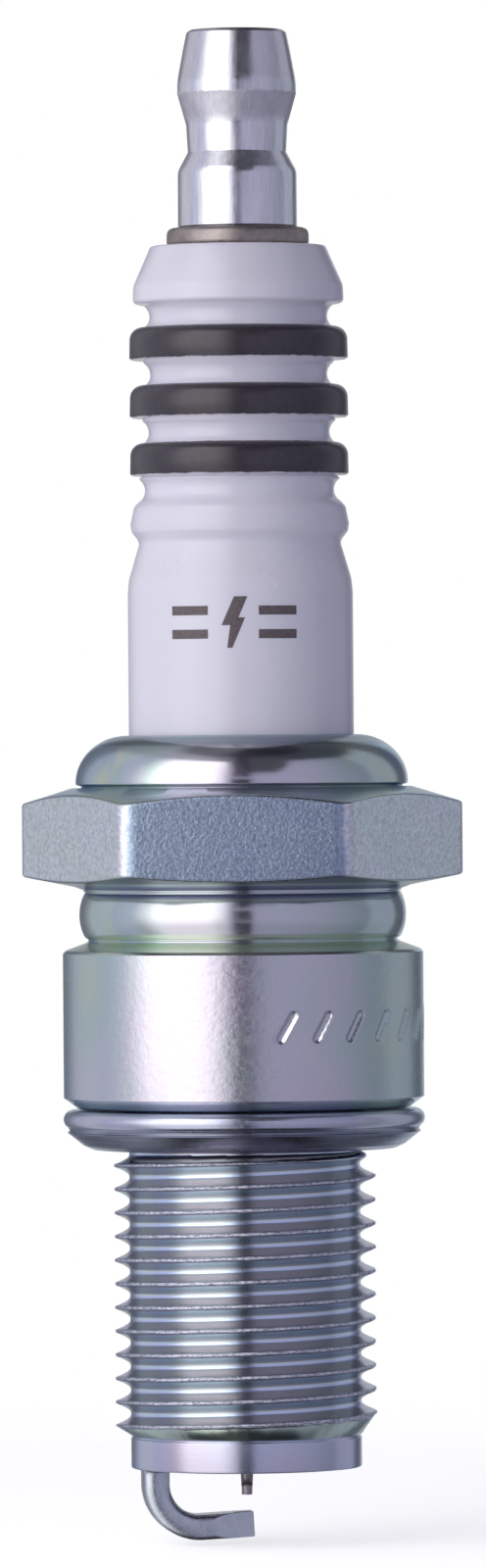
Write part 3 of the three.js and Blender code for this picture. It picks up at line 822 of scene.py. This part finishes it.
def groove_rows():
    """The shrink groove below the hexagon, then the barrel's ledge and the top of its side."""
    return outline(
        (8.45, 11.68, 0.1),
        (8.4, 11.45, 0.1),
        *arc((7.6, 10.22), (1.04, 1.7), 48, -44, 16),
        (8.12, 8.9, 0.1),
        (8.3, 8.76, 0.06),
        (9.38, 8.36, 0.05),
        (BARREL["radius"], BARREL["top"], 0.06),
        (BARREL["radius"], STAMPED["top"] + 0.1),
    )


def stamped_rows(angles):
    heights = np.arange(STAMPED["top"], STAMPED["foot"], -STAMPED["step"])
    radius = BARREL["radius"] - dash_depth(angles, heights)
    return np.stack([radius, np.broadcast_to(heights[:, None], radius.shape)], axis=-1)


def foot_rows():
    """The barrel's foot, the sleeve in the thread's mesh, and the hollow up to its step."""
    return outline(
        (BARREL["radius"], STAMPED["foot"] - 0.1),
        (BARREL["radius"], BARREL["chamfer"], 0.08),
        (8.75, 0, 0.06),
        (THREAD_SLEEVE["radius"] + 0.1, 0, 0.1),
        (THREAD_SLEEVE["radius"], THREAD_SLEEVE["top"]),
        (HOLLOW["narrow"], THREAD_SLEEVE["top"]),
        (HOLLOW["narrow"], HOLLOW["step_foot"]),
        (HOLLOW["wide"], HOLLOW["step_top"]),
    )


def make_shell_body():
    angles = shell_columns()
    stretches = (crimp_rows(), hexagon_rows(angles), groove_rows(), stamped_rows(angles), foot_rows())
    points = np.concatenate([turned(rows, angles) for rows in stretches])

    def paint(place, normal):
        """The index of a face's material: 1 on the barrel's side, 2 on the hexagon's flats, 0 elsewhere."""
        out = math.hypot(place.x, place.y)
        if out > 9.9 and abs(normal.z) < 0.5:
            return 2
        return 1 if out > 9.2 and place.z < BARREL["top"] + 0.05 else 0

    piece("shell_body", points, "plug", [ZINC, ZINC_BARREL, ZINC_HEXAGON],
          replaces="metal_shell", paint=paint)


def make_shell_thread():
    high, low = -2.3, SHELL_END + 1.75
    sleeve, start = THREAD_SLEEVE["radius"], THREAD_SLEEVE["top"]
    above = outline(
        (HOLLOW["narrow"], start),
        (sleeve, start),
        (sleeve, high + 0.12, 0.05),
        (THREAD["root"], high),
    )
    thread = helix(THREAD, high, low, 0.4, ROUND, roughness=0.07)
    below = outline(
        (THREAD["root"], low),
        (PILOT_RADIUS - 0.07, low - 0.08, 0.05),
        (PILOT_RADIUS, low - 0.18, 0.05),
        (PILOT_RADIUS, SHELL_END, 0.13),
        (4.35, SHELL_END, 0.12),
        (4.3, -9.8, 0.2),
        (3.9, -9),
        (3.9, -7.55),
        (HOLLOW["narrow"] - 0.1, -6.75),
        (HOLLOW["narrow"], start),
    )
    points = np.concatenate([turned(above, ROUND), thread, turned(below, ROUND)])
    piece("shell_thread", points, "plug", [ZINC_THREAD], replaces="metal_shell")


# -- Crush gasket: sheet steel folded to a bead above and a bowl below --


def make_gasket():
    bead, bead_radius = (9.05, GASKET_TOP - 0.36), 0.5
    rows = outline(
        (6.6, GASKET_TOP - 0.2),
        (6.75, GASKET_TOP + 0.1, 0.08),
        (8.8, GASKET_TOP + 0.12, 0.3),
        *arc(bead, (bead_radius, bead_radius), 80, -58, 16),
        (9.23, -1.16, 0.05),
        (9.35, -1.25, 0.02),
        (8.5, -1.93, 0.3),
        (8.0, GASKET_FOOT, 0.25),
        (6.98, GASKET_FOOT, 0.1),
        (6.6, GASKET_FOOT + 0.4, 0.1),
        (6.6, GASKET_TOP - 0.2),
    )
    piece("gasket_folded", turned(rows, ROUND), "seat_gasket", [GASKET_STEEL],
          replaces="seat_gasket")


# -- Ground electrode --

BAR = {
    "width": 2.3,
    "thickness": 1.33,
    "edge": (0.3, 0.58),  # rounding of its edges, across and through the bar
    "leg": 4.87,  # from the axis
    "bend": 2.3,
    "turn": 93,  # degrees
    "overhang": 0.3,  # of its end past the axis
}
BAR_DIRECTION = 189  # degrees round from +X
TAPER = {"length": 2.1, "start": 2.2, "tip": 1.25}
SPARK_GAP = 0.85


def bar_section():
    """The bar's section as (across, through) points: flat faces and bulging sides."""
    steps = 12  # round each edge
    edge_across, edge_through = BAR["edge"]
    across, through = BAR["width"] / 2 - edge_across, BAR["thickness"] / 2 - edge_through
    points = []
    for sign_x, sign_y, start in ((1, -1, -90), (1, 1, 0), (-1, 1, 90), (-1, -1, 180)):
        for angle in np.radians(np.linspace(start, start + 90, steps)):
            points.append((sign_x * across + edge_across * math.cos(angle),
                           sign_y * through + edge_through * math.sin(angle)))
    return np.array(points + points[:1])


def bar_stations(length):
    """Distances along the bar, and the section's size at each. The weld spreads it a little."""
    edge = 0.05  # rounding of the bar's end
    weld, spread = 0.3, 0.15
    stations = [(-0.02, 0.0), (-0.02, 1 + spread)]
    for s in np.linspace(0.02, length - edge, 130):
        stations.append((s, 1 + spread * max(1 - s / weld, 0) ** 2))
    return stations + [(length - edge / 3, 1 - edge / 3), (length, 1 - edge), (length, 0.0)]


def bar_half_width(from_tip):
    if from_tip >= TAPER["length"]:
        return BAR["width"] / 2
    share = from_tip / TAPER["length"]
    return (TAPER["tip"] * (1 - share) + TAPER["start"] * share) / 2


def make_ground_electrode():
    """The bar goes straight down from the shell, bends, and ends under the centre electrode."""
    turn, bend = math.radians(BAR["turn"]), BAR["bend"]
    end_height = WIRE_END - SPARK_GAP - BAR["thickness"] / 2
    bend_x = BAR["leg"] - bend * (1 - math.cos(turn))
    flat = (bend_x + BAR["overhang"]) / math.sin(turn)
    bend_top = end_height + flat * math.cos(turn) + bend * math.sin(turn)
    leg = SHELL_END - bend_top
    length = leg + bend * turn + flat
    section = bar_section()
    rows = []
    for s, size in bar_stations(length):
        bent = min(max((s - leg) / bend, 0), turn)
        straight = s - leg if s < leg else max(s - leg - bend * bent, 0)
        middle = np.array([
            BAR["leg"] - bend * (1 - math.cos(bent)) - straight * math.sin(bent),
            bend_top - bend * math.sin(bent) - straight * math.cos(bent),
        ])
        outward = np.array([math.cos(bent), -math.sin(bent)])
        half_width = bar_half_width(length - s)
        across = np.clip(section[:, 0], -half_width, half_width) * size
        place = middle + np.outer(section[:, 1] * size, outward)
        rows.append(np.stack([place[:, 0], across, place[:, 1]], axis=-1))
    angle = math.radians(BAR_DIRECTION)
    cosine, sine = math.cos(angle), math.sin(angle)
    rotation = np.array([[cosine, sine, 0], [-sine, cosine, 0], [0, 0, 1]])
    piece("ground_electrode_bar", np.array(rows) @ rotation, "plug", [NICKEL_ALLOY],
          replaces="ground_electrode")


# -- Centre electrode and its wire tip --


def make_centre_electrode():
    rows = outline(
        (0, -17.2),
        (0.8, -16.8),
        (0.8, -2.6),
        (1.95, -2.6),
        (1.95, -4.3),
        (1.22, -5),
        (1.22, NOSE_TIP + 0.2, 0.2),
        (0.33, -19.35, 0.2),
        (0.3, WIRE_END + 0.57),
        (0, WIRE_END + 0.57),
    )
    piece("centre_electrode_turned", turned(rows, SLIM_ROUND), "plug", [NICKEL_ALLOY],
          replaces="center_electrode")


def make_wire_tip():
    rows = outline(
        (0, WIRE_END + 0.57),
        (0.31, WIRE_END + 0.56),
        (0.285, WIRE_END + 0.4, 0.05),
        (0.28, WIRE_END, 0.03),
        (0, WIRE_END),
    )
    piece("wire_tip_drawn", turned(rows, SLIM_ROUND), "plug", [IRIDIUM],
          replaces="iridium_wire_tip")


# -- Pieces sealed inside, which keep their CAD solids --


def finish_inner_pieces():
    glass = mottled("seal_glass", (0.12, 0.06, 0.04), (0.3, 0.17, 0.1), 0.3, 0.01, (0.35, 0.6))
    carbon = mottled("carbon_ceramic", (0.02, 0.02, 0.022), (0.07, 0.07, 0.075), 0.2, 0.01, (0.6, 0.85))
    talc = mottled("talc", (0.68, 0.65, 0.58), (0.84, 0.82, 0.76), 0.25, 0.02, (0.8, 0.95))
    copper = mottled("copper", (0.6, 0.3, 0.2), (0.78, 0.45, 0.32), 0.6, 0.002, (0.25, 0.4), 1.0)
    spring = mottled("spring_steel", (0.3, 0.3, 0.32), (0.5, 0.5, 0.53), 0.3, 0.004, (0.3, 0.45), 1.0)
    looks = {
        "center_electrode_core": copper,
        "lower_glass_seal": glass,
        "upper_glass_seal": glass,
        "resistor": carbon,
        "talc_packing": talc,
        "upper_packing_ring": spring,
        "lower_packing_ring": spring,
        "ledge_washer": spring,
    }
    for node, look in looks.items():
        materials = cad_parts[node].data.materials
        materials.clear()
        materials.append(look)


# -- Camera, floor and light --

CAMERA = {
    "distance": 603,
    "height": 18.86,
    "side": 0.08,  # to the right of the axis
    "roll": 0.43,  # degrees
    "picture_height": 82.9,  # at the plug
    "picture_centre": 17.1,  # height that the middle of the picture shows
}


def make_camera():
    data = bpy.data.cameras.new("camera")
    camera = add_object("camera", data)
    bpy.context.scene.camera = camera
    azimuth = math.radians(CAMERA_AZIMUTH)
    right = np.array([math.cos(azimuth), math.sin(azimuth), 0])
    back = np.array([math.sin(azimuth), -math.cos(azimuth), 0])
    place = CAMERA["distance"] * back + CAMERA["side"] * right + np.array([0, 0, CAMERA["height"]])
    camera.location = place * MM
    camera.rotation_euler = (math.radians(90), math.radians(CAMERA["roll"]), azimuth)
    data.sensor_width = 36
    data.lens = data.sensor_width * CAMERA["distance"] / CAMERA["picture_height"]
    data.shift_y = (CAMERA["picture_centre"] - CAMERA["height"]) / CAMERA["picture_height"]
    data.clip_start = 0.01
    data.clip_end = 10


def make_floor():
    """A pale disc below the plug that fades out, so that it has no edge."""
    gap, reach = 0.3, 140
    built = bmesh.new()
    bmesh.ops.create_circle(built, cap_ends=True, segments=96, radius=reach * MM)
    mesh = finished_mesh("floor", built)
    floor = add_object("floor", mesh)
    floor.location.z = (bottom("ground_electrode") - gap) * MM
    look = Look("floor", Base_Color=(0.8, 0.8, 0.8, 1), Roughness=0.9,
                Emission_Color=(1, 1, 1, 1), Emission_Strength=0.62)
    look.plug(look.shader.inputs["Alpha"], look.smooth(look.radius(), reach * 0.98, reach * 0.35))
    mesh.materials.append(look.material)
    floor.visible_glossy = False
    floor.visible_diffuse = False


TENT = {"radius": 150, "foot": -450, "top": 450}
POWER = 2  # a ramp holds numbers up to 1, so it holds the light divided by this
# Light of the tent's wall, in degrees from the direction of the camera, positive to its right.
WALL = (
    (-170, (0.6, 0.6, 0.62)),
    (-166, (0.2, 0.2, 0.24)),
    (-150, (0.24, 0.24, 0.28)),
    (-140, (0.38, 0.38, 0.44)),
    (-133, (0.58, 0.58, 0.66)),
    (-106, (0.62, 0.62, 0.68)),
    (-102, (0.54, 0.55, 0.7)),
    (-84, (0.6, 0.61, 0.76)),
    (-72, (1.05, 1.05, 1.12)),
    (-61, (1.9, 1.88, 1.95)),
    (-24, (1.9, 1.88, 1.95)),
    (-14, (1.2, 1.19, 1.26)),
    (-8, (0.42, 0.42, 0.56)),
    (28, (0.42, 0.42, 0.56)),
    (60, (0.37, 0.37, 0.48)),
    (98, (0.27, 0.28, 0.36)),
    (101, (0.39, 0.41, 0.5)),
    (132, (0.4, 0.41, 0.5)),
    (136, (0.16, 0.16, 0.2)),
    (153, (0.14, 0.14, 0.18)),
    (159, (0.5, 0.52, 0.58)),
    (166, (0.6, 0.6, 0.62)),
)
# Light above the wall, the same way round.
CEILING = (
    (-180, (0.2, 0.2, 0.22)),
    (-140, (0.32, 0.32, 0.36)),
    (-110, (0.44, 0.44, 0.5)),
    (-50, (0.46, 0.46, 0.52)),
    (-14, (0.2, 0.2, 0.24)),
    (-2, (0.085, 0.085, 0.11)),
    (35, (0.08, 0.08, 0.1)),
    (60, (0.06, 0.06, 0.08)),
    (130, (0.075, 0.075, 0.1)),
    (160, (0.11, 0.11, 0.13)),
    (180, (0.2, 0.2, 0.22)),
)
# Height of the wall's top, as a share of the tent's own height.
WALL_TOP = (
    (-180, 0.28),
    (-130, 0.33),
    (-90, 0.45),
    (-45, 0.49),
    (-14, 0.48),
    (-5, 0.22),
    (5, 0.17),
    (25, 0.175),
    (34, 0.27),
    (46, 0.46),
    (70, 0.43),
    (100, 0.36),
    (140, 0.36),
    (180, 0.28),
)


def tent_light():
    """Light that varies round the tent and up it, as its material's emission."""
    look = Look("tent_light", Base_Color=(0, 0, 0, 1), Roughness=1.0, Specular_IOR_Level=0.0,
                Emission_Strength=POWER)
    azimuth = look.math("ARCTAN2", look.x, look.times(look.y, -1))
    azimuth = look.times(azimuth, math.degrees(1))
    azimuth = look.math("SUBTRACT", azimuth, CAMERA_AZIMUTH)
    turn = look.math("MULTIPLY_ADD", azimuth, 1 / 360, 0.5)

    def around(stops, power):
        scaled = []
        for angle, value in stops:
            value = tuple(v / power for v in value) if isinstance(value, tuple) else value
            scaled.append(((angle + 180) / 360, value))
        return look.ramp(turn, *scaled)

    # Above the wall is a darker ceiling, darker still towards the tent's top.
    edge = look.times(around(WALL_TOP, 1), TENT["top"])
    above = look.smooth(look.math("SUBTRACT", look.z, edge), -18, 32)
    dimmer = look.math("MULTIPLY_ADD", look.smooth(look.z, 300, 450), -0.6, 1.0)
    ceiling = look.mix(dimmer, (0.0, 0.0, 0.0), around(CEILING, POWER))
    # The bright panel on the left fades towards its foot.
    panel = look.times(look.band(azimuth, -86, -8, 8), look.smooth(look.z, 25, -45))
    wall = look.mix(look.times(panel, 0.35), around(WALL, POWER), (0.0, 0.0, 0.0))
    light = look.mix(above, wall, ceiling)
    # Towards its foot the tent gets dark in two steps, and in one step behind the plug.
    behind = look.smooth(look.math("ABSOLUTE", azimuth), 105, 130)
    low = look.math("MULTIPLY_ADD", look.smooth(look.z, -60, -10), 0.15, 0.08)
    low = look.math("MULTIPLY_ADD", look.smooth(look.z, -320, -150), 0.77, low)
    low_behind = look.math("MULTIPLY_ADD", look.smooth(look.z, -390, -130), 0.9, 0.1)
    light = look.mix(look.mix(behind, low, low_behind), (0.0, 0.0, 0.0), light)
    # The slit that the camera looks through, which something pale covers level with the terminal.
    slit = look.smooth(look.math("ABSOLUTE", azimuth), 7.5, 5.5)
    covered = look.math("MULTIPLY_ADD", look.band(look.z, 36, 64, 6), -0.6, 1.0)
    glow = look.mix(look.band(look.z, -32, -4, 10), (0.02, 0.02, 0.03), (0.09, 0.09, 0.12))
    light = look.mix(look.times(slit, covered), light, glow)
    look.plug(look.shader.inputs["Emission Color"], light)
    return look.material


def make_tent():
    """A light tent round the plug, painted on the inside of a cylinder that the camera looks through."""
    radius, foot, head = TENT["radius"] * MM, TENT["foot"] * MM, TENT["top"] * MM
    built = bmesh.new()
    bmesh.ops.create_cone(built, cap_ends=True, segments=96, depth=head - foot,
                          radius1=radius, radius2=radius)
    bmesh.ops.translate(built, verts=built.verts, vec=(0, 0, (head + foot) / 2))
    mesh = finished_mesh("tent", built)
    mesh.materials.append(tent_light())
    tent = add_object("tent", mesh)
    tent.visible_camera = False
    tent.visible_shadow = False


def make_background():
    """Plain white behind the plug; the tent gives all the light."""
    world = bpy.data.worlds.new("background")
    bpy.context.scene.world = world
    world.use_nodes = True
    tree = world.node_tree
    background = tree.nodes["Background"]
    background.inputs["Color"].default_value = (1, 1, 1, 1)
    rays = tree.nodes.new("ShaderNodeLightPath")
    tree.links.new(rays.outputs["Is Camera Ray"], background.inputs["Strength"])


make_camera()
make_background()
make_tent()
make_floor()
make_terminal_nut()
make_terminal_stud()
make_insulator()
make_printed_mark()
make_shell_body()
make_shell_thread()
make_gasket()
make_ground_electrode()
make_centre_electrode()
make_wire_tip()
finish_inner_pieces()
bpy.context.scene.view_settings.view_transform = "Standard"
